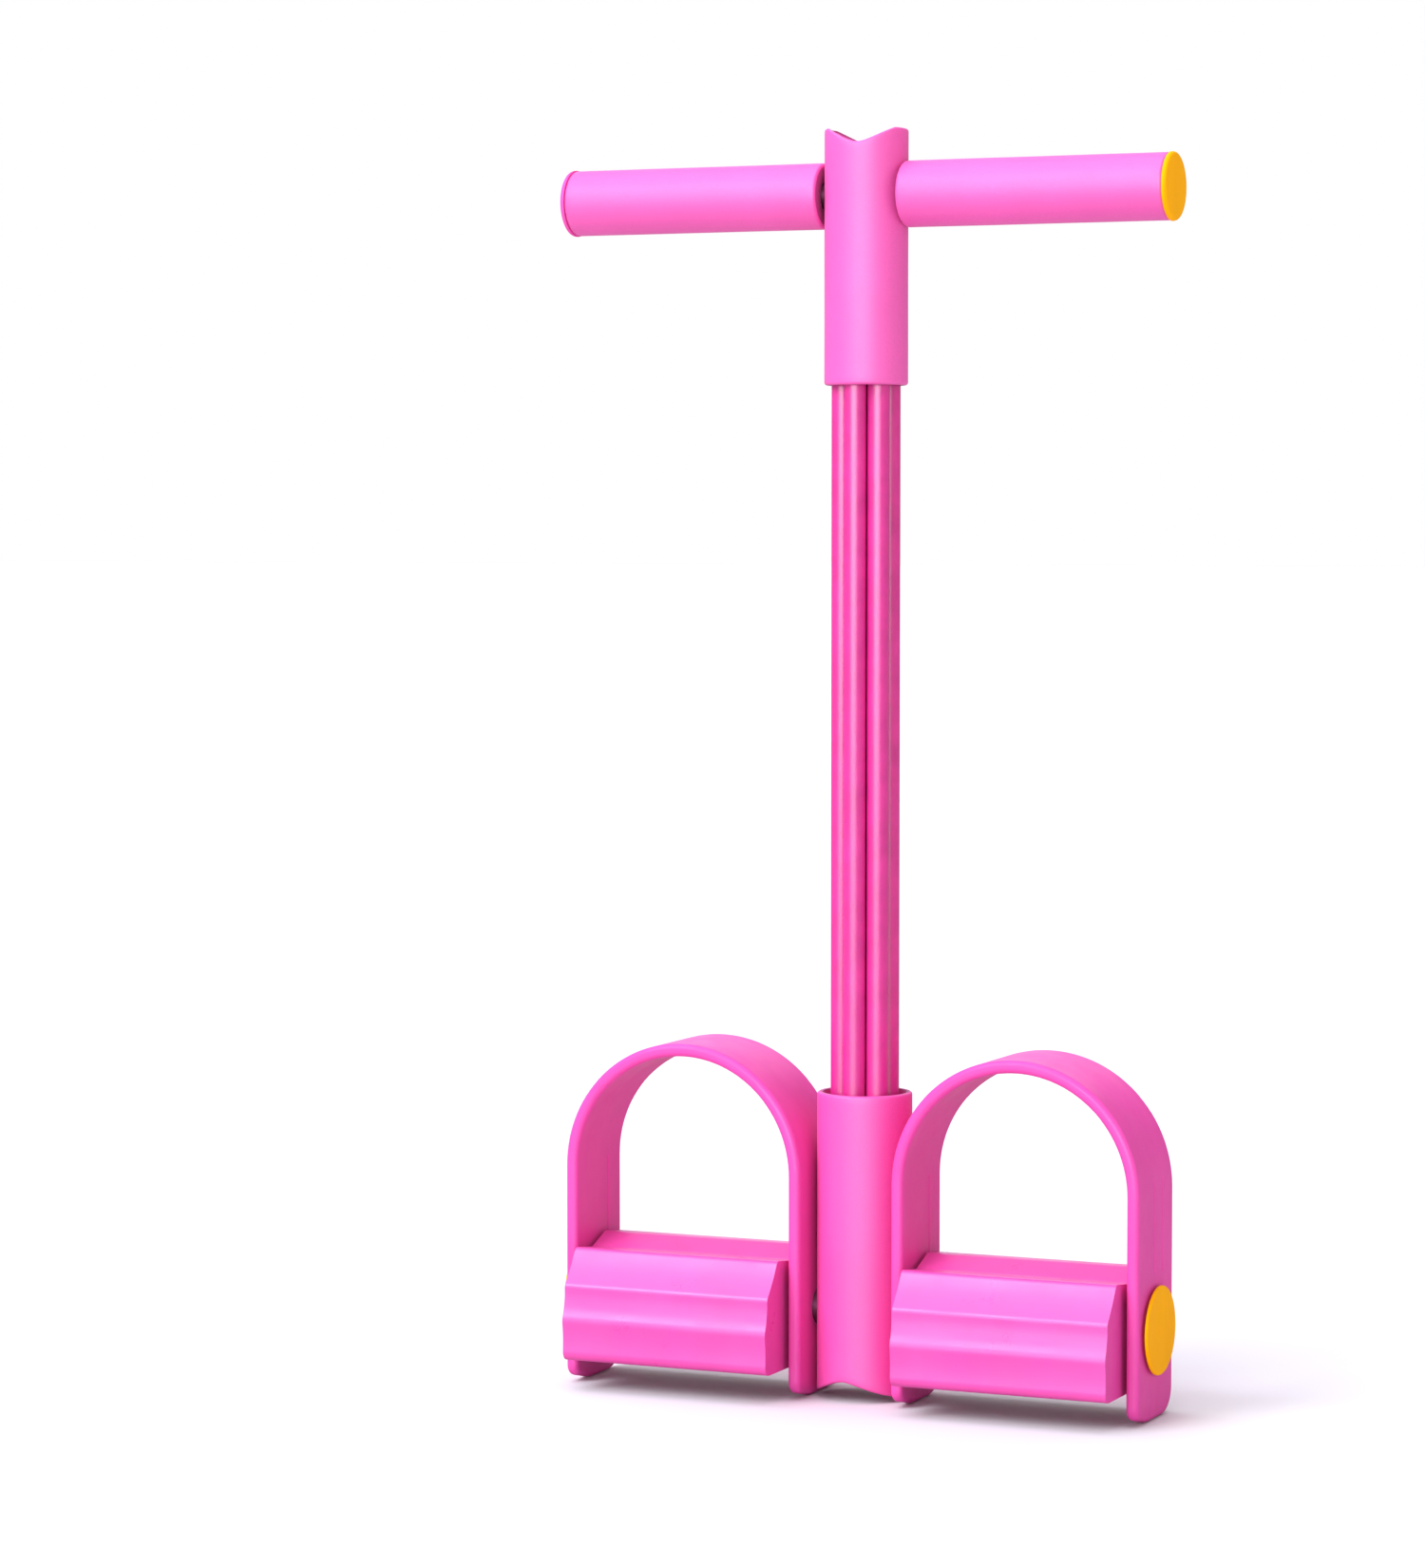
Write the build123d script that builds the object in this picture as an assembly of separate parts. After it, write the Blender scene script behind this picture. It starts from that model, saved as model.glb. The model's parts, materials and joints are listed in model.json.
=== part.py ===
from build123d import *
import os

# Foot-pedal elastic-tube exerciser: a T-handle, six rubber tubes in foam sleeves, and
# two stirrup pedals on one axle. Every size is in millimetres. X runs along the handle
# and the axle, +Z up, and -Y faces the toes. The pieces are drawn about the centre of
# the pedal axle, and the whole part is then lifted onto its feet.

# Elastic tubes: a ring of six, just clear of one another
TUBE_OUTER_R = 4.6
TUBE_BORE_R = 2.1
TUBE_COUNT = 6
TUBE_RING_R = 9.45
TUBE_RING_TURN = -6.0

# Handle
HANDLE_Z = 455.8
GRIP_R = 13.5
GRIP_INNER_X = 17.5
GRIP_OUTER_X = 130.2
BAR_R = 6.0
BAR_WALL = 1.2
HANDLE_CAP_R = 13.7
HANDLE_CAP_THICKNESS = 1.9
HANDLE_CAP_EDGE_R = 1.4

# Foam sleeves: the upper one hides the handle hub, the lower one the axle hub
UPPER_SLEEVE_R = 17.1
UPPER_SLEEVE_BORE_R = 14.6
UPPER_SLEEVE_BOTTOM_Z = HANDLE_Z - 77.0
UPPER_SLEEVE_TOP_Z = HANDLE_Z + 26.7
UPPER_NOTCH_DEPTH = 6.0
UPPER_NOTCH_HALF_WIDTH = 14.0
UPPER_NOTCH_TURN = 8.0
LOWER_SLEEVE_R = 19.6
LOWER_SLEEVE_BORE_R = 17.0
LOWER_SLEEVE_BOTTOM_Z = -35.6
LOWER_SLEEVE_TOP_Z = 90.0
LOWER_NOTCH_DEPTH = 7.4
LOWER_NOTCH_HALF_WIDTH = 20.6
LOWER_NOTCH_TURN = -6.0
NOTCH_TIP_R = 6.0
SLEEVE_EDGE_R = 1.4

# Axle and its end caps
AXLE_R = 8.0
AXLE_WALL = 1.5
AXLE_CAP_R = 18.0
AXLE_CAP_THICKNESS = 1.1
AXLE_CAP_EDGE_R = 0.8
AXLE_CAP_BOSS_R = 12.5
AXLE_CAP_BOSS_THICKNESS = 1.2

# Stirrups: a flat band bent over the instep, with both legs running down to the floor
STIRRUP_CENTRE_X = 73.0
STIRRUP_HALF_WIDTH = 53.0
STIRRUP_WALL = 5.3
STIRRUP_HALF_DEPTH = 22.0
ARCH_CENTRE_Z = 55.2
FOOT_Z = -36.2
FOOT_FRONT_R = 5.0
FOOT_BACK_R = 11.0
TOE_START_Y = -8.0
TOE_RISE = 3.2
TOE_BEND_R = 20.0
BAND_EDGE_R = 2.2
GROOVE_R = 2.4
GROOVE_DEPTH = 0.4
GROOVE_START_Z = 24.0
OUTER_GROOVES_Y = (-2.0, 8.0)
INNER_GROOVE_Y = 8.0

# Foot pads: a hollow moulding, open underneath, that turns on the axle by its hub
PAD_END_GAP = 2.0
PAD_FRONT_Y = -40.6
PAD_BACK_Y = 22.0
PAD_BOTTOM_Z = -24.0
PAD_WALL = 2.6
PAD_HUB_R = 11.0
PAD_RIB = 2.2
PAD_RIB_COUNT = 3

# Fits
RUNNING = 0.05
FACE_GAP = 0.3
HUB_GAP = 0.3

STIRRUP_INNER_HALF = STIRRUP_HALF_WIDTH - STIRRUP_WALL
PAD_HALF_LENGTH = STIRRUP_INNER_HALF - PAD_END_GAP
AXLE_HALF_LENGTH = STIRRUP_CENTRE_X + STIRRUP_HALF_WIDTH - 0.5
CAP_INNER_X = STIRRUP_CENTRE_X + STIRRUP_HALF_WIDTH + FACE_GAP

# The tubes reach from one hub to the other
HANDLE_HUB_BOTTOM_Z = HANDLE_Z - 17.0
HANDLE_HUB_TOP_Z = HANDLE_Z + 13.0
AXLE_HUB_BOTTOM_Z = -16.0
AXLE_HUB_TOP_Z = 18.0
PEG_LENGTH = 14.0
PEG_R = 1.8
BARB_R = 2.05
BARB_LENGTH = 3.0
BARB_STARTS = (3.5, 7.5, 11.0)

# Where the axle's centre stands in the part's own frame, whose origin is the middle of
# the footprint, on the floor
AXLE_Y = -(PAD_FRONT_Y + STIRRUP_HALF_DEPTH) / 2
AXLE_Z = -FOOT_Z


def rod_x(radius, start, end, z=0.0):
    """A round bar along X."""
    place = Pos((start + end) / 2, 0, z) * Rot(0, 90, 0)
    return place * Cylinder(radius, abs(end - start))


def rod_z(radius, bottom, top, x=0.0, y=0.0):
    """A round bar along Z."""
    return Pos(x, y, (bottom + top) / 2) * Cylinder(radius, top - bottom)


def mirrored(shape):
    """The same piece on the other side of the middle plane."""
    return mirror(shape, about=Plane.YZ)


def ends_at(shape, axis, value):
    """The circular edges of a piece at one place along an axis."""
    edges = shape.edges().filter_by(GeomType.CIRCLE)
    return edges.filter_by_position(axis, value - 0.01, value + 0.01)


def tube_places():
    """The tubes' places round the ring, from the front one."""
    ring = PolarLocations(TUBE_RING_R, TUBE_COUNT, start_angle=TUBE_RING_TURN - 90)
    return [(place.position.X, place.position.Y) for place in ring]


def elastic_tube(x, y):
    """One rubber tube, pushed over a peg of each hub until it meets the hub's face."""
    bottom, top = AXLE_HUB_TOP_Z, HANDLE_HUB_BOTTOM_Z
    return rod_z(TUBE_OUTER_R, bottom, top, x, y) - rod_z(TUBE_BORE_R, bottom, top, x, y)


def barbed_peg(x, y):
    """An upright peg that grips a tube's bore: a thin stem with three tapered barbs."""
    peg = rod_z(PEG_R, -1.0, PEG_LENGTH, x, y)
    for start in BARB_STARTS:
        barb = Cone(BARB_R, PEG_R - 0.2, BARB_LENGTH)
        peg += Pos(x, y, start + BARB_LENGTH / 2) * barb
    return peg


def hub(radius, bottom, top, bore_radius, bore_z, pegs_up):
    """A round anchor with a cross bore for its bar, and a peg for each tube."""
    body = rod_z(radius, bottom, top)
    body = fillet(ends_at(body, Axis.Z, top) + ends_at(body, Axis.Z, bottom), 1.5)
    body -= rod_x(bore_radius, -2 * radius, 2 * radius, bore_z)
    for x, y in tube_places():
        peg = barbed_peg(x, y)
        body += Pos(0, 0, top) * peg if pegs_up else Pos(0, 0, bottom) * mirror(peg, about=Plane.XY)
    return body


def handle_hub():
    bore = BAR_R + RUNNING
    radius = UPPER_SLEEVE_BORE_R - HUB_GAP
    return hub(radius, HANDLE_HUB_BOTTOM_Z, HANDLE_HUB_TOP_Z, bore, HANDLE_Z, pegs_up=False)


def axle_hub():
    bore = AXLE_R + RUNNING
    radius = LOWER_SLEEVE_BORE_R - HUB_GAP
    return hub(radius, AXLE_HUB_BOTTOM_Z, AXLE_HUB_TOP_Z, bore, 0.0, pegs_up=True)


def notch_cutter(half_width, tip_z, mouth_z, beyond_z, turn):
    """A wedge with a rounded tip, through the front and the back of a sleeve."""
    corners = [(-half_width, mouth_z), (0, tip_z), (half_width, mouth_z)]
    corners += [(half_width, beyond_z), (-half_width, beyond_z)]
    outline = make_face(Plane.XZ * Polyline(*corners, close=True))
    tip = outline.vertices().sort_by_distance((0, 0, tip_z))[0]
    outline = fillet(tip, NOTCH_TIP_R)
    return Rot(0, 0, turn) * extrude(outline, amount=2 * LOWER_SLEEVE_R, both=True)


def upper_sleeve():
    """Foam tube over the handle hub. Its sides pass the bar, and its top end is notched."""
    sleeve = rod_z(UPPER_SLEEVE_R, UPPER_SLEEVE_BOTTOM_Z, UPPER_SLEEVE_TOP_Z)
    sleeve = fillet(ends_at(sleeve, Axis.Z, UPPER_SLEEVE_BOTTOM_Z), SLEEVE_EDGE_R)
    sleeve -= rod_z(UPPER_SLEEVE_BORE_R, UPPER_SLEEVE_BOTTOM_Z, UPPER_SLEEVE_TOP_Z)
    sleeve -= rod_x(BAR_R + 2 * FACE_GAP, -2 * UPPER_SLEEVE_R, 2 * UPPER_SLEEVE_R, HANDLE_Z)
    half, top = UPPER_NOTCH_HALF_WIDTH, UPPER_SLEEVE_TOP_Z
    return sleeve - notch_cutter(half, top - UPPER_NOTCH_DEPTH, top, top + 20, UPPER_NOTCH_TURN)


def lower_sleeve():
    """Foam tube over the axle hub. Its top end is open and square, and its bottom notched."""
    sleeve = rod_z(LOWER_SLEEVE_R, LOWER_SLEEVE_BOTTOM_Z, LOWER_SLEEVE_TOP_Z)
    sleeve = fillet(ends_at(sleeve, Axis.Z, LOWER_SLEEVE_TOP_Z), SLEEVE_EDGE_R)
    sleeve -= rod_z(LOWER_SLEEVE_BORE_R, LOWER_SLEEVE_BOTTOM_Z, LOWER_SLEEVE_TOP_Z)
    sleeve -= rod_x(AXLE_R + FACE_GAP, -2 * LOWER_SLEEVE_R, 2 * LOWER_SLEEVE_R)
    half, low = LOWER_NOTCH_HALF_WIDTH, LOWER_SLEEVE_BOTTOM_Z
    return sleeve - notch_cutter(half, low + LOWER_NOTCH_DEPTH, low, low - 20, LOWER_NOTCH_TURN)


def handle_bar():
    """Steel tube through the grips and the handle hub."""
    half = GRIP_OUTER_X - 1.5
    return rod_x(BAR_R, -half, half, HANDLE_Z) - rod_x(BAR_R - BAR_WALL, -half, half, HANDLE_Z)


def handle_grip():
    """Foam grip on the right half of the bar."""
    grip = rod_x(GRIP_R, GRIP_INNER_X, GRIP_OUTER_X, HANDLE_Z)
    grip = fillet(ends_at(grip, Axis.X, GRIP_INNER_X) + ends_at(grip, Axis.X, GRIP_OUTER_X), 0.8)
    return grip - rod_x(BAR_R + RUNNING, GRIP_INNER_X, GRIP_OUTER_X, HANDLE_Z)


def barbed_stem(radius, start, end, z):
    """A plug's stem along X, with three raised rings that grip the bore of a tube."""
    stem = rod_x(radius - 0.5, start, end, z)
    span = end - start
    for share in (0.25, 0.5, 0.75):
        middle = start + share * span
        stem += rod_x(radius, middle - 0.06 * span, middle + 0.06 * span, z)
    return stem


def handle_cap():
    """End plug of the handle: a domed flange over the grip's end, and a stem in the bar."""
    outer = GRIP_OUTER_X + HANDLE_CAP_THICKNESS
    flange = rod_x(HANDLE_CAP_R, GRIP_OUTER_X, outer, HANDLE_Z)
    flange = fillet(ends_at(flange, Axis.X, outer), HANDLE_CAP_EDGE_R)
    return flange + barbed_stem(BAR_R - BAR_WALL - RUNNING, 112.0, GRIP_OUTER_X, HANDLE_Z)


def pedal_axle():
    """Steel tube through both pedals and the axle hub."""
    half = AXLE_HALF_LENGTH
    return rod_x(AXLE_R, -half, half) - rod_x(AXLE_R - AXLE_WALL, -half, half)


def axle_cap():
    """End plug of the axle: a wide flange that keeps the pedal on, standing off it on a
    smaller boss, and a stem in the axle."""
    back = CAP_INNER_X + AXLE_CAP_BOSS_THICKNESS
    outer = back + AXLE_CAP_THICKNESS
    flange = rod_x(AXLE_CAP_R, back, outer)
    flange = fillet(ends_at(flange, Axis.X, outer), AXLE_CAP_EDGE_R)
    flange += rod_x(AXLE_CAP_BOSS_R, CAP_INNER_X, back)
    return flange + barbed_stem(AXLE_R - AXLE_WALL - RUNNING, 108.0, CAP_INNER_X, 0.0)


def arch_outline(half_width):
    """The outline of the stirrup at one half width: two upright legs under a half circle."""
    foot, spring = FOOT_Z, ARCH_CENTRE_Z
    right = Line((half_width, foot), (half_width, spring))
    arch = CenterArc((0, spring), half_width, 0, 180)
    left = Line((-half_width, spring), (-half_width, foot))
    base = Line((-half_width, foot), (half_width, foot))
    return make_face(Plane.XZ * (right + arch + left + base))


def foot_outline():
    """The side outline of a leg: a flat foot that rises to the toes, with round corners, and
    straight edges above."""
    top = ARCH_CENTRE_Z + STIRRUP_HALF_WIDTH + 10
    depth, toe_z = STIRRUP_HALF_DEPTH, FOOT_Z + TOE_RISE
    corners = [(-depth, toe_z), (TOE_START_Y, FOOT_Z), (depth, FOOT_Z), (depth, top), (-depth, top)]
    outline = make_face(Plane.YZ * Polyline(*corners, close=True))
    rounded = ((-depth, toe_z, FOOT_FRONT_R), (TOE_START_Y, FOOT_Z, TOE_BEND_R), (depth, FOOT_Z, FOOT_BACK_R))
    for y, z, radius in rounded:
        corner = outline.vertices().sort_by_distance((0, y, z))[0]
        outline = fillet(corner, radius)
    return outline


def leg_groove(x, y, top):
    """The cutter of a shallow upright groove with rounded ends, in one face of a leg."""
    groove = rod_z(GROOVE_R, GROOVE_START_Z, top, x, y)
    groove += Pos(x, y, GROOVE_START_Z) * Sphere(GROOVE_R)
    return groove + Pos(x, y, top) * Sphere(GROOVE_R)


def leg_grooves():
    """The grooves of both legs. The outer ones run out where the arch curves away."""
    outer = STIRRUP_HALF_WIDTH + GROOVE_R - GROOVE_DEPTH
    inner = STIRRUP_INNER_HALF - GROOVE_R + GROOVE_DEPTH
    cutters = []
    for side in (-1, 1):
        cutters += [leg_groove(side * outer, y, ARCH_CENTRE_Z + 12) for y in OUTER_GROOVES_Y]
        cutters.append(leg_groove(side * inner, INNER_GROOVE_Y, ARCH_CENTRE_Z))
    return cutters


def stirrup():
    """The right stirrup."""
    reach = 2 * STIRRUP_HALF_WIDTH
    band = extrude(arch_outline(STIRRUP_HALF_WIDTH), amount=reach, both=True)
    band -= extrude(arch_outline(STIRRUP_INNER_HALF), amount=2 * reach, both=True)
    band &= extrude(foot_outline(), amount=reach, both=True)
    rims = [edge for edge in band.edges() if on_rim(edge)]
    band = fillet(rims, BAND_EDGE_R)
    band -= rod_x(AXLE_R + RUNNING, -reach, reach)
    for groove in leg_grooves():
        band -= groove
    return Pos(STIRRUP_CENTRE_X, 0, 0) * band


def on_rim(edge):
    """True for an edge that runs along the band or round a foot, not across its thickness."""
    size = edge.bounding_box().size
    return max(size.Y, size.Z) > STIRRUP_WALL + 0.1 and abs(size.X - STIRRUP_WALL) > 0.01


def pad_outline():
    """The pad's outline seen from its end: ridges with hollows between them, a hump over
    the axle and a step behind the top ridge, a flat underside, and three ridges behind."""
    front = [(-27.3, 21.8), (-38.0, 7.4), (PAD_FRONT_Y, -6.6), (PAD_FRONT_Y + 0.2, PAD_BOTTOM_Z)]
    back = [(PAD_BACK_Y, PAD_BOTTOM_Z), (PAD_BACK_Y, -9.0), (PAD_BACK_Y, 6.0), (PAD_BACK_Y, 20.6)]
    top = [(13.5, 23.5), (1.5, 24.8), (-11.3, 19.8), (-24.0, 21.4)]
    lines = [SagittaArc(a, b, sag) for a, b, sag in zip(front, front[1:], (0.6, 1.0, 0.8))]
    lines += [Line(front[-1], back[0])]
    lines += [SagittaArc(a, b, 0.8) for a, b in zip(back, back[1:])]
    rest = [back[-1], *top, front[0]]
    lines += [Line(a, b) for a, b in zip(rest, rest[1:])]
    outline = make_face(Plane.YZ * Curve(children=lines))
    radii = {front[0]: 2.4, front[1]: 3.0, front[2]: 6.0, front[3]: 4.0, back[0]: 3.6}
    radii.update({back[1]: 1.2, back[2]: 1.2, back[3]: 4.0, top[0]: 6.0, top[1]: 5.0, top[2]: 5.0})
    for (y, z), radius in radii.items():
        corner = outline.vertices().sort_by_distance((0, y, z))[0]
        outline = fillet(corner, radius)
    return outline


def pad_cavity():
    """The hollow of the pad seen from its end, open through the underside."""
    low = PAD_BOTTOM_Z - 1
    front, back = PAD_FRONT_Y + PAD_WALL + 1.6, PAD_BACK_Y - PAD_WALL - 1.2
    corners = [(front, low), (front, 4.0), (-26.2, 17.4), (-10.0, 16.4), (1.5, 21.6)]
    corners += [(13.0, 20.6), (back, 17.0), (back, low)]
    return make_face(Plane.YZ * Polyline(*corners, close=True))


def foot_pad():
    """The right foot pad: ridged walls, two ends, a hub for the axle, and cross ribs."""
    half = PAD_HALF_LENGTH
    pad = extrude(pad_outline(), amount=half, both=True)
    hollow = extrude(pad_cavity(), amount=half - PAD_WALL, both=True)
    room = 2 * (half - PAD_WALL)
    for index in range(PAD_RIB_COUNT):
        x = room * ((index + 1) / (PAD_RIB_COUNT + 1) - 0.5)
        hollow -= Pos(x, 0, 0) * Box(PAD_RIB, 100, 100)
    hollow -= Box(room, PAD_RIB, 100)
    hollow -= rod_x(PAD_HUB_R, -half, half)
    pad -= hollow
    reach = STIRRUP_INNER_HALF - FACE_GAP
    pad += rod_x(PAD_HUB_R, -reach, reach)
    pad -= rod_x(AXLE_R + RUNNING, -reach, reach)
    return Pos(STIRRUP_CENTRE_X, 0, 0) * pad


def parts():
    """Every piece by its node's name, about the centre of the axle."""
    pieces = {
        "handle_bar": handle_bar(),
        "handle_hub": handle_hub(),
        "upper_sleeve": upper_sleeve(),
        "lower_sleeve": lower_sleeve(),
        "axle_hub": axle_hub(),
        "pedal_axle": pedal_axle(),
    }
    for number, (x, y) in enumerate(tube_places(), 1):
        pieces[f"elastic_tube_{number}"] = elastic_tube(x, y)
    paired = {
        "handle_grip": handle_grip(),
        "handle_cap": handle_cap(),
        "axle_cap": axle_cap(),
        "stirrup": stirrup(),
        "foot_pad": foot_pad(),
    }
    for name, piece in paired.items():
        pieces[f"{name}_right"] = piece
        pieces[f"{name}_left"] = mirrored(piece)
    return pieces


def main():
    os.makedirs("parts", exist_ok=True)
    for name, piece in parts().items():
        export_step(Pos(0, AXLE_Y, AXLE_Z) * piece, f"parts/{name}.step")


main()
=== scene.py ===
import json
import math

import bmesh
import bpy
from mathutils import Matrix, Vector, noise


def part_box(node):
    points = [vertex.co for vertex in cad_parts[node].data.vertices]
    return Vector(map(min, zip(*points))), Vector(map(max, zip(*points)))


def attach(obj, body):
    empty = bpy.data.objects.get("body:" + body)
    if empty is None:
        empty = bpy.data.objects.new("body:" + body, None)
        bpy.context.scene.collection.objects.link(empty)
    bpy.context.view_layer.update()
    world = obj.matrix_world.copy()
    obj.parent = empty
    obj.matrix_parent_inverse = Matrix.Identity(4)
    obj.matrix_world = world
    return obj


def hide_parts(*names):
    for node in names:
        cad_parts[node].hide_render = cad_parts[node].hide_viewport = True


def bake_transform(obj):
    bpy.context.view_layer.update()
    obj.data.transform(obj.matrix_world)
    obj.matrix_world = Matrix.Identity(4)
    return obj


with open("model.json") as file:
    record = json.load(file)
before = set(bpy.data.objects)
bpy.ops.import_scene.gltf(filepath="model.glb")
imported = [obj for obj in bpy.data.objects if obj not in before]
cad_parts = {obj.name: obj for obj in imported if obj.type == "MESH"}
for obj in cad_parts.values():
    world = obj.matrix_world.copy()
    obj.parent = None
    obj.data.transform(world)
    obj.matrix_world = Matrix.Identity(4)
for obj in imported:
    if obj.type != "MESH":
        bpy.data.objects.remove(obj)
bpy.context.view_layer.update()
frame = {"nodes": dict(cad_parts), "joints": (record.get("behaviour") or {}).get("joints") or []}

MM = 0.001

# Places, all taken from the frame
HANDLE_JOINT = next(j for j in frame["joints"] if j["name"] == "handle_roll")
AXLE_JOINT = next(j for j in frame["joints"] if j["name"] == "right_stirrup_swing")
HANDLE_CENTRE = Vector(HANDLE_JOINT["pos_m"])
AXLE_CENTRE = Vector(AXLE_JOINT["pos_m"])

# Walls, bores and edges of the foam and rubber pieces
GRIP_BORE = 6.05 * MM
GRIP_EDGE = 1.3 * MM
UPPER_WALL = 2.5 * MM
LOWER_WALL = 2.6 * MM
SLEEVE_EDGE = 1.2 * MM
UPPER_NOTCH = {"depth": 6.0 * MM, "half": 14.0 * MM, "turn": math.radians(8)}
LOWER_NOTCH = {"depth": 7.4 * MM, "half": 20.6 * MM, "turn": math.radians(-6)}
NOTCH_SOFTNESS = 4.2 * MM
BAR_HOLE = 6.6 * MM
AXLE_HOLE = 8.3 * MM
TUBE_BORE = 2.1 * MM
TUBE_EDGE = 0.4 * MM
TUBE_COUNT = 6
FOAM_WOBBLE = 0.10 * MM
FOAM_WOBBLE_SCALE = 28.0

# How finely the pieces are divided: steps round, and rows along
GRIP_STEPS, GRIP_ROWS = 96, 40
SLEEVE_STEPS, SLEEVE_ROWS = 128, 48
TUBE_STEPS, TUBE_ROWS = 48, 72
BORE_ROW_STRIDE = 4
EDGE_STEPS = 4
HOLE_SIDES = 64

# Colours, as linear RGB
PINK_FOAM = (0.87, 0.100, 0.43)
# The same pink foam made darker as painted shade, for the lower sleeve in the shade between the pedals
PINK_FOAM_SHADED_LOW = (0.84, 0.070, 0.38)
PINK_PLASTIC = (0.76, 0.070, 0.36)
MAGENTA_RUBBER = (0.66, 0.021, 0.25)
ORANGE = (1.0, 0.43, 0.003)
# Steel coloured a dark plum as painted shade, since the bar and axle show only in shaded gaps
STEEL_SHADE_DARK = (0.10, 0.03, 0.06)
STEEL_SHADE_LIGHT = (0.15, 0.05, 0.09)

# Sizes of a material's grain, as noise scales per metre
FOAM_PORES = 1500.0
CUT_FOAM_PORES = 900.0
PLASTIC_GRAIN = 2600.0


# ---------------------------------------------------------------- material nodes

class Finish:
    """A material's node tree, with short calls for the nodes that every finish uses."""

    def __init__(self, name):
        self.material = bpy.data.materials.new(name)
        self.material.use_nodes = True
        self.tree = self.material.node_tree
        self.shader = self.tree.nodes["Principled BSDF"]
        self.place = self.tree.nodes.new("ShaderNodeTexCoord").outputs["Object"]

    def node(self, kind, **settings):
        made = self.tree.nodes.new(kind)
        for key, value in settings.items():
            setattr(made, key, value)
        return made

    def link(self, source, target):
        self.tree.links.new(source, target)

    def stretched(self, scale):
        """The surface point with each axis scaled, for streaks."""
        mapping = self.node("ShaderNodeMapping")
        mapping.inputs["Scale"].default_value = scale
        self.link(self.place, mapping.inputs["Vector"])
        return mapping.outputs["Vector"]

    def noise(self, scale, detail=3.0, rough=0.5, vector=None):
        made = self.node("ShaderNodeTexNoise")
        made.inputs["Scale"].default_value = scale
        made.inputs["Detail"].default_value = detail
        made.inputs["Roughness"].default_value = rough
        self.link(vector or self.place, made.inputs["Vector"])
        return made.outputs["Fac"]

    def cells(self, scale):
        made = self.node("ShaderNodeTexVoronoi", feature="F1")
        made.inputs["Scale"].default_value = scale
        self.link(self.place, made.inputs["Vector"])
        return made.outputs["Distance"]

    def ranged(self, value, to_low, to_high, low=0.3, high=0.7):
        """Maps low..high, where most of a noise lies, to to_low..to_high."""
        made = self.node("ShaderNodeMapRange", clamp=True)
        limits = {"From Min": low, "From Max": high, "To Min": to_low, "To Max": to_high}
        for socket, number in limits.items():
            made.inputs[socket].default_value = number
        self.link(value, made.inputs["Value"])
        return made.outputs["Result"]

    def sum(self, first, second):
        made = self.node("ShaderNodeMath", operation="ADD")
        self.link(first, made.inputs[0])
        self.link(second, made.inputs[1])
        return made.outputs["Value"]

    def mixed(self, share, first, second):
        """Two colours, or linked colours, mixed by a share from 0 to 1."""
        made = self.node("ShaderNodeMix", data_type="RGBA")
        self.link(share, made.inputs["Factor"])
        colour_sockets = [s for s in made.inputs if s.type == "RGBA"]
        for socket, value in zip(colour_sockets, (first, second)):
            if isinstance(value, tuple):
                socket.default_value = (*value, 1.0)
            else:
                self.link(value, socket)
        return next(s for s in made.outputs if s.type == "RGBA")

    def bumped(self, height, strength, distance, under=None):
        made = self.node("ShaderNodeBump")
        made.inputs["Strength"].default_value = strength
        made.inputs["Distance"].default_value = distance
        self.link(height, made.inputs["Height"])
        if under is not None:
            self.link(under, made.inputs["Normal"])
        return made.outputs["Normal"]

    def shaded(self, share, colour, darker, lighter):
        """A colour that drifts between a darker and a lighter shade of itself."""
        return self.mixed(self.ranged(share, 0.0, 1.0), tinted(colour, darker), tinted(colour, lighter))

    def set(self, **values):
        """Fixed numbers and colours, straight on the shader's own sockets."""
        for key, value in values.items():
            socket = self.shader.inputs[key.replace("_", " ")]
            socket.default_value = (*value, 1.0) if isinstance(value, tuple) else value

    def drive(self, **links):
        """Values that vary over the surface, linked to the shader's sockets."""
        for key, value in links.items():
            self.link(value, self.shader.inputs[key.replace("_", " ")])


def tinted(colour, factor):
    """A colour made darker or lighter by a factor."""
    return tuple(min(1.0, c * factor) for c in colour)


def foam(name, colour, pore_scale, depth):
    """Closed-cell foam: a fine pebbled skin with darker pores and cloudy colour."""
    finish = Finish(name)
    pores = finish.cells(pore_scale)
    grain = finish.noise(pore_scale * 2.2, 2.0, 0.6)
    cloud = finish.noise(26.0, 4.0, 0.55)
    base = finish.shaded(cloud, colour, 0.94, 1.05)
    speck = finish.ranged(grain, 0.0, 1.0, high=0.62)
    skin = finish.mixed(speck, tinted(colour, 0.86), base)
    finish.drive(Base_Color=skin, Roughness=finish.ranged(grain, 0.56, 0.48))
    pebble = finish.bumped(pores, 0.35, depth)
    finish.drive(Normal=finish.bumped(grain, 0.25, depth * 0.5, pebble))
    finish.set(Sheen_Weight=0.06, Sheen_Roughness=0.45, Sheen_Tint=(1.0, 0.72, 0.95))
    finish.set(Specular_IOR_Level=0.6)
    return finish.material


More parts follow.
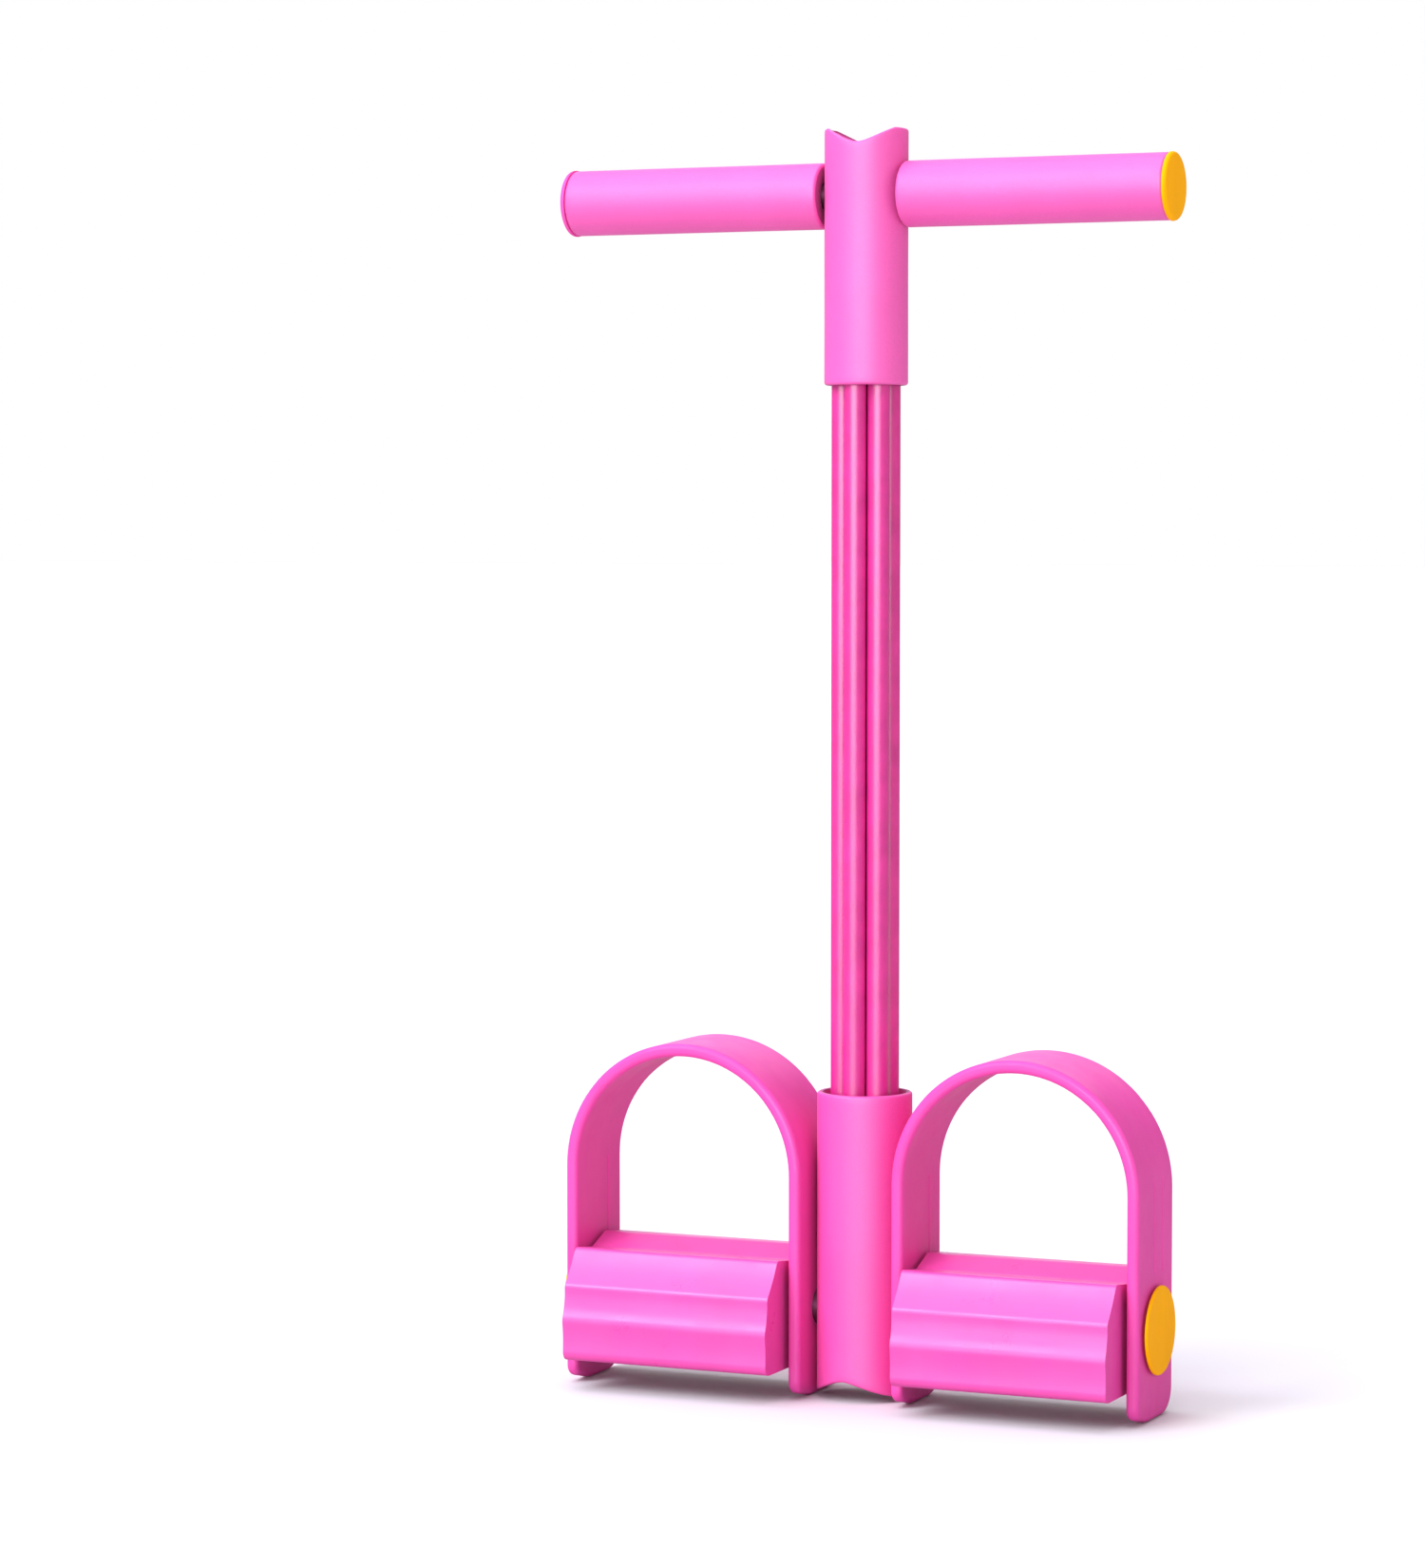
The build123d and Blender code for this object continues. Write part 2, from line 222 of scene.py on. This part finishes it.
def moulded(name, colour, roughness, gloss=0.55, rim=None):
    """Moulded plastic: a very fine grain, faint flow lines and rubbed patches.

    A cap with a rim colour keeps its own colour only on the face that looks along -X.
    """
    finish = Finish(name)
    flow = finish.noise(1.0, 5.0, 0.6, finish.stretched((60.0, 60.0, 14.0)))
    grain = finish.noise(PLASTIC_GRAIN, 2.0, 0.5)
    rubbed = finish.noise(38.0, 5.0, 0.62)
    base = finish.shaded(flow, colour, 0.95, 1.04)
    if rim:
        along = finish.node("ShaderNodeSeparateXYZ")
        finish.link(finish.node("ShaderNodeTexCoord").outputs["Normal"], along.inputs["Vector"])
        facing = finish.ranged(along.outputs["X"], 1.0, 0.0, low=-0.97, high=-0.93)
        base = finish.mixed(facing, rim, base)
    finish.drive(Base_Color=base)
    patch = finish.ranged(rubbed, roughness - 0.05, roughness + 0.10, low=0.35)
    finish.drive(Roughness=finish.sum(patch, finish.ranged(grain, -0.02, 0.03)))
    finish.drive(Normal=finish.bumped(grain, 0.10, 0.05 * MM))
    finish.set(Specular_IOR_Level=gloss)
    return finish.material


def elastic(name, colour):
    """Drawn latex tube: glossy and slightly see-through, with long die lines."""
    finish = Finish(name)
    lines = finish.noise(1.0, 3.0, 0.6, finish.stretched((2400.0, 2400.0, 5.0)))
    bloom = finish.noise(70.0, 4.0, 0.6)
    base = finish.shaded(bloom, colour, 0.88, 1.12)
    finish.drive(Base_Color=base, Roughness=finish.ranged(bloom, 0.34, 0.40))
    finish.drive(Normal=finish.bumped(lines, 0.06, 0.04 * MM))
    finish.set(Subsurface_Weight=0.15, Subsurface_Scale=0.002, Specular_IOR_Level=0.6)
    finish.set(Coat_Weight=0.3, Coat_Roughness=0.30)
    return finish.material


def drawn_steel_painted_shade(name):
    """Steel tube coloured a dark plum as painted shade, with fine drawing lines round it and a light
    bloom.
    """
    finish = Finish(name)
    lines = finish.noise(1.0, 4.0, 0.6, finish.stretched((5200.0, 40.0, 40.0)))
    finish.drive(Roughness=finish.ranged(lines, 0.42, 0.56))
    finish.drive(Normal=finish.bumped(lines, 0.10, 0.02 * MM))
    cloud = finish.noise(55.0, 3.0, 0.5)
    finish.drive(Base_Color=finish.mixed(cloud, STEEL_SHADE_DARK, STEEL_SHADE_LIGHT))
    finish.set(Metallic=1.0)
    return finish.material


# ---------------------------------------------------------------- mesh building

def wall_profile(inner, outer, length, edge, rows):
    """A tube's wall once round, as (radius, share of the length, offset, is it a cut end)."""
    arc = [math.radians(90 * step / EDGE_STEPS) for step in range(EDGE_STEPS + 1)]
    soft = edge * 0.5
    points = []
    for a in arc:
        points.append((outer - edge + edge * math.sin(a), 0.0, edge - edge * math.cos(a), a == arc[0]))
    clear = edge / length
    for row in range(1, rows):
        points.append((outer, clear + (1 - 2 * clear) * row / rows, 0.0, False))
    for a in arc:
        points.append((outer - edge + edge * math.cos(a), 1.0, edge * math.sin(a) - edge, a == arc[-1]))
    for a in arc:
        points.append((inner + soft - soft * math.sin(a), 1.0, soft * math.cos(a) - soft, True))
    for row in range(rows - 1, 0, -BORE_ROW_STRIDE):
        points.append((inner, clear + (1 - 2 * clear) * row / rows, 0.0, False))
    for a in arc:
        points.append((inner + soft - soft * math.cos(a), 0.0, soft - soft * math.sin(a), True))
    return points


def wound(profile, steps, place):
    """Rings of points, each a profile point carried once round, and which are cut ends.

    place turns a radius, a share of the length, an offset and an angle into a point.
    """
    turns = [2 * math.pi * k / steps for k in range(steps)]
    rings = [[place(*spot, turn) for turn in turns] for *spot, _ in profile]
    return rings, [end for *_, end in profile]


def skinned(name, rings, cut, materials):
    """A closed mesh through rings of points. The strip after ring i is a cut end if cut[i]."""
    mesh = bpy.data.meshes.new(name)
    count = len(rings[0])
    points = [p for ring in rings for p in ring]
    faces, ends = [], []
    for i in range(len(rings)):
        j = (i + 1) % len(rings)
        for k in range(count):
            n = (k + 1) % count
            faces.append((i * count + k, i * count + n, j * count + n, j * count + k))
            ends.append(1 if cut[i] and cut[j] else 0)
    mesh.from_pydata(points, [], faces)
    for material in materials:
        mesh.materials.append(material)
    for polygon, end in zip(mesh.polygons, ends):
        polygon.use_smooth = True
        polygon.material_index = end if len(materials) > 1 else 0
    work = bmesh.new()
    work.from_mesh(mesh)
    bmesh.ops.recalc_face_normals(work, faces=work.faces)
    work.to_mesh(mesh)
    work.free()
    made = bpy.data.objects.new(name, mesh)
    bpy.context.scene.collection.objects.link(made)
    return made


def drilled(piece, centre, radius, reach):
    """Cuts a round hole along X right through a piece."""
    bpy.ops.mesh.primitive_cylinder_add(vertices=HOLE_SIDES, radius=radius, depth=2 * reach,
                                        location=centre, rotation=(0, math.pi / 2, 0))
    cutter = bpy.context.object
    cut = piece.modifiers.new("hole", "BOOLEAN")
    cut.object, cut.operation, cut.solver = cutter, "DIFFERENCE", "EXACT"
    graph = bpy.context.evaluated_depsgraph_get()
    mesh = bpy.data.meshes.new_from_object(piece.evaluated_get(graph))
    piece.modifiers.clear()
    piece.data = mesh
    bpy.data.objects.remove(cutter)
    return piece


def middle(low, high):
    """The centre line of an upright piece, from its box."""
    return Vector(((low.x + high.x) / 2, (low.y + high.y) / 2, 0))


def wobble(point):
    """Foam is never quite round: the surface sinks in by up to FOAM_WOBBLE."""
    return FOAM_WOBBLE * (0.5 + 0.5 * noise.noise(point * FOAM_WOBBLE_SCALE))


# ---------------------------------------------------------------- pieces

def foam_grip(side, materials):
    """A foam grip on the handle: a thick tube with soft rims, along X."""
    node = f"handle_grip_{side}"
    low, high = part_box(node)
    outer, length = (high.z - low.z) / 2, high.x - low.x
    axis = Vector((0, HANDLE_CENTRE.y, HANDLE_CENTRE.z))

    def place(radius, share, offset, angle):
        across = Vector((0, math.cos(angle), math.sin(angle)))
        spot = Vector((low.x + share * length + offset, 0, 0)) + across * radius
        sink = wobble(spot) if radius > GRIP_BORE + MM else 0.0
        return spot - across * sink + axis

    profile = wall_profile(GRIP_BORE, outer, length, GRIP_EDGE, GRIP_ROWS)
    grip = skinned(f"foam_grip_{side}", *wound(profile, GRIP_STEPS, place), materials)
    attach(grip, "handle")
    finish_soft(node)


def notch_drop(x, half, depth):
    """How far below the full length a V-notch with a soft tip cuts at x across the sleeve."""
    rise = math.hypot(x, NOTCH_SOFTNESS) - NOTCH_SOFTNESS
    full = math.hypot(half, NOTCH_SOFTNESS) - NOTCH_SOFTNESS
    return depth * max(0.0, 1 - rise / full)


def foam_sleeve(name, node, wall, notch, notch_on_top, hole, materials):
    """A foam sleeve along Z, with a V-notch through the front and the back of one end."""
    low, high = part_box(node)
    outer, length = (high.x - low.x) / 2, high.z - low.z
    centre = middle(low, high)

    def place(radius, share, offset, angle):
        across = Vector((math.cos(angle), math.sin(angle), 0))
        drop = notch_drop(radius * math.cos(angle - notch["turn"]), notch["half"], notch["depth"])
        start = low.z if notch_on_top else low.z + drop
        spot = across * radius + Vector((0, 0, start + share * (length - drop) + offset))
        sink = wobble(spot) if radius > outer - wall / 2 else 0.0
        return centre + spot - across * sink

    profile = wall_profile(outer - wall, outer, length, SLEEVE_EDGE, SLEEVE_ROWS)
    sleeve = skinned(name, *wound(profile, SLEEVE_STEPS, place), materials)
    body, hole_centre, hole_radius = hole
    drilled(sleeve, hole_centre, hole_radius, 2 * outer)
    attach(sleeve, body)
    finish_soft(node)


def finish_soft(node):
    """Hides the plain CAD solid that a foam piece stands in for."""
    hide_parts(node)


def rubber_tube(number, material):
    """One elastic tube, which stretches from the axle's hub to the handle's."""
    node = f"elastic_tube_{number}"
    low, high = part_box(node)
    outer, length = (high.x - low.x) / 2, high.z - low.z
    centre = middle(low, high)

    def place(radius, share, offset, angle):
        across = Vector((math.cos(angle), math.sin(angle), 0))
        return centre + across * radius + Vector((0, 0, low.z + share * length + offset))

    profile = wall_profile(TUBE_BORE, outer, length, TUBE_EDGE, TUBE_ROWS)
    tube = skinned(f"rubber_tube_{number}", *wound(profile, TUBE_STEPS, place), [material])
    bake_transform(tube)
    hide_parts(node)


def repaint(node, material):
    """Gives a CAD node that keeps its shape its detailed material."""
    target = frame["nodes"][node]
    for place in target.material_slots:
        place.material = material


def build_object():
    """Every detailed piece, and the materials of the CAD nodes that keep their shape."""
    skin = foam("foam_skin", PINK_FOAM, FOAM_PORES, 0.10 * MM)
    # The lower sleeve's foam is a darker copy of the same foam: painted shade between the pedals
    shaded_low_skin = foam("low_foam_skin_painted_shade", PINK_FOAM_SHADED_LOW, FOAM_PORES, 0.10 * MM)
    # Cut ends: coarser open pores, and half the foam's brightness as painted shade for the shadow on
    # the ends and the grips' inner faces
    cut = foam("foam_cut_face_painted_shade", tinted(PINK_FOAM, 0.50), CUT_FOAM_PORES, 0.35 * MM)
    for side in ("left", "right"):
        foam_grip(side, [skin, cut])
    foam_sleeve("upper_foam_sleeve", "upper_sleeve", UPPER_WALL, UPPER_NOTCH, True,
                ("handle_mount", HANDLE_CENTRE, BAR_HOLE), [skin, cut])
    foam_sleeve("lower_foam_sleeve", "lower_sleeve", LOWER_WALL, LOWER_NOTCH, False,
                ("axle_unit", AXLE_CENTRE, AXLE_HOLE), [shaded_low_skin, cut])
    rubber = elastic("latex_tube", MAGENTA_RUBBER)
    for number in range(1, TUBE_COUNT + 1):
        rubber_tube(number, rubber)
    stirrup = moulded("stirrup_plastic", tinted(PINK_PLASTIC, 1.02), 0.38, 0.2)
    pad = moulded("foot_pad_plastic", PINK_PLASTIC, 0.32, 0.5)
    cap = moulded("end_cap_plastic", ORANGE, 0.42, 0.02)
    rimmed_cap = moulded("rimmed_cap_plastic", ORANGE, 0.42, 0.02, rim=PINK_FOAM)
    hub = moulded("hub_plastic", tinted(PINK_PLASTIC, 0.6), 0.5)
    steel = drawn_steel_painted_shade("drawn_steel_painted_shade")
    for side in ("left", "right"):
        repaint(f"stirrup_{side}", stirrup)
        repaint(f"foot_pad_{side}", pad)
        repaint(f"axle_cap_{side}", cap)
    repaint("handle_cap_right", cap)
    repaint("handle_cap_left", rimmed_cap)
    for node in ("handle_hub", "axle_hub"):
        repaint(node, hub)
    # The bar and axle take the steel coloured dark as painted shade
    for node in ("handle_bar", "pedal_axle"):
        repaint(node, steel)


# ---------------------------------------------------------------- stage, light and camera

CAMERA_PLACE = Vector((0.7216, -1.7647, 0.3619))
CAMERA_AZIMUTH = math.radians(24.007)
CAMERA_PITCH = math.radians(3.272)
CAMERA_LENS = 107.6
ROOM_LIGHT = 0.53
ROOM_GLOSS = 0.20
FLOOR_SIZE = 60.0
FLOOR_DROP = 0.2 * MM
FLOOR_BOUNCE = (0.60, 0.60, 0.60)
FLOOR_GLOSS = (0.22, 0.22, 0.22)
FLOOR_SHADES = ((0.68, 0.68, 0.68), (0.70, 0.70, 0.70))
LAMP_DISTANCE = 2.0
SOFT_LAMPS = (
    # name, azimuth, height, strength, spread (the angles in degrees), tint, what it adds
    ("key", -32, 36, 2.1, 28, (1.0, 0.97, 1.08), "both"),
    ("top_panel", -50, 74, 1.8, 60, (1.0, 0.98, 1.20), "both"),
    ("front_panel", 2, 3, 1.7, 50, (1.0, 0.98, 1.05), "both"),
    ("gloss_panel", 12, 1, 5.8, 54, (1.0, 0.97, 1.10), "gloss"),
    ("back_gloss", 204, 22, 0.5, 50, (1.0, 0.95, 1.25), "gloss"),
    ("back_fill", 215, 45, 0.7, 80, (1.0, 1.0, 1.0), "matt"),
    ("side_fill", 84, 6, 0.6, 60, (1.0, 0.96, 1.0), "matt"),
)


def pale_floor():
    """A plain pale floor, which bounces less light than the camera sees in it."""
    bpy.ops.mesh.primitive_plane_add(size=FLOOR_SIZE, location=(0, 0, -FLOOR_DROP))
    floor = bpy.context.object
    floor.name = "pale_floor"
    finish = Finish("pale_floor")
    cloud = finish.noise(3.0, 3.0, 0.5)
    path = finish.node("ShaderNodeLightPath")
    pale = finish.mixed(cloud, *FLOOR_SHADES)
    lighting = finish.mixed(path.outputs["Is Glossy Ray"], FLOOR_BOUNCE, FLOOR_GLOSS)
    finish.drive(Base_Color=finish.mixed(path.outputs["Is Camera Ray"], lighting, pale))
    finish.set(Roughness=0.9, Specular_IOR_Level=0.0)
    floor.data.materials.append(finish.material)


def soft_lamp(name, azimuth, height, strength, spread, tint, adds):
    """A wide, soft, distant light: azimuth 0 is in front, 90 on the right."""
    azimuth, height, spread = (math.radians(angle) for angle in (azimuth, height, spread))
    data = bpy.data.lights.new(name, "SUN")
    data.energy, data.angle, data.color = strength, spread, tint
    lamp = bpy.data.objects.new(name, data)
    bpy.context.scene.collection.objects.link(lamp)
    flat = math.cos(height)
    towards = Vector((math.sin(azimuth) * flat, -math.cos(azimuth) * flat, math.sin(height)))
    lamp.location = towards * LAMP_DISTANCE
    lamp.visible_diffuse, lamp.visible_glossy = adds != "gloss", adds != "matt"
    lamp.rotation_mode = "QUATERNION"
    lamp.rotation_quaternion = (-towards).to_track_quat("-Z", "Y")


def studio():
    """A white room, which gloss sees dimmer than skin does, and the soft lamps."""
    world = bpy.data.worlds.new("studio")
    bpy.context.scene.world = world
    world.use_nodes = True
    tree = world.node_tree
    path = tree.nodes.new("ShaderNodeLightPath")
    shader = tree.nodes["Background"].outputs["Background"]
    tree.nodes["Background"].inputs["Color"].default_value = (1.0, 0.98, 1.0, 1.0)
    tree.nodes["Background"].inputs["Strength"].default_value = ROOM_LIGHT
    for ray, strength in (("Is Glossy Ray", ROOM_GLOSS), ("Is Camera Ray", 1.0)):
        room, choice = tree.nodes.new("ShaderNodeBackground"), tree.nodes.new("ShaderNodeMixShader")
        room.inputs["Color"].default_value = (1.0, 1.0, 1.0, 1.0)
        room.inputs["Strength"].default_value = strength
        tree.links.new(path.outputs[ray], choice.inputs["Fac"])
        tree.links.new(shader, choice.inputs[1])
        tree.links.new(room.outputs["Background"], choice.inputs[2])
        shader = choice.outputs["Shader"]
    tree.links.new(shader, tree.nodes["World Output"].inputs["Surface"])
    for lamp in SOFT_LAMPS:
        soft_lamp(*lamp)


def photo_camera():
    """A long lens at the photograph's angle."""
    data = bpy.data.cameras.new("camera")
    data.lens, data.sensor_width, data.sensor_fit = CAMERA_LENS, 36.0, "AUTO"
    camera = bpy.data.objects.new("camera", data)
    bpy.context.scene.collection.objects.link(camera)
    camera.location = CAMERA_PLACE
    flat = math.cos(CAMERA_PITCH)
    left, forward = math.sin(CAMERA_AZIMUTH) * flat, math.cos(CAMERA_AZIMUTH) * flat
    ahead = Vector((-left, forward, -math.sin(CAMERA_PITCH)))
    camera.rotation_mode = "QUATERNION"
    camera.rotation_quaternion = ahead.to_track_quat("-Z", "Y")
    bpy.context.scene.camera = camera


build_object()
pale_floor()
studio()
photo_camera()
bpy.context.scene.view_settings.view_transform = "Standard"
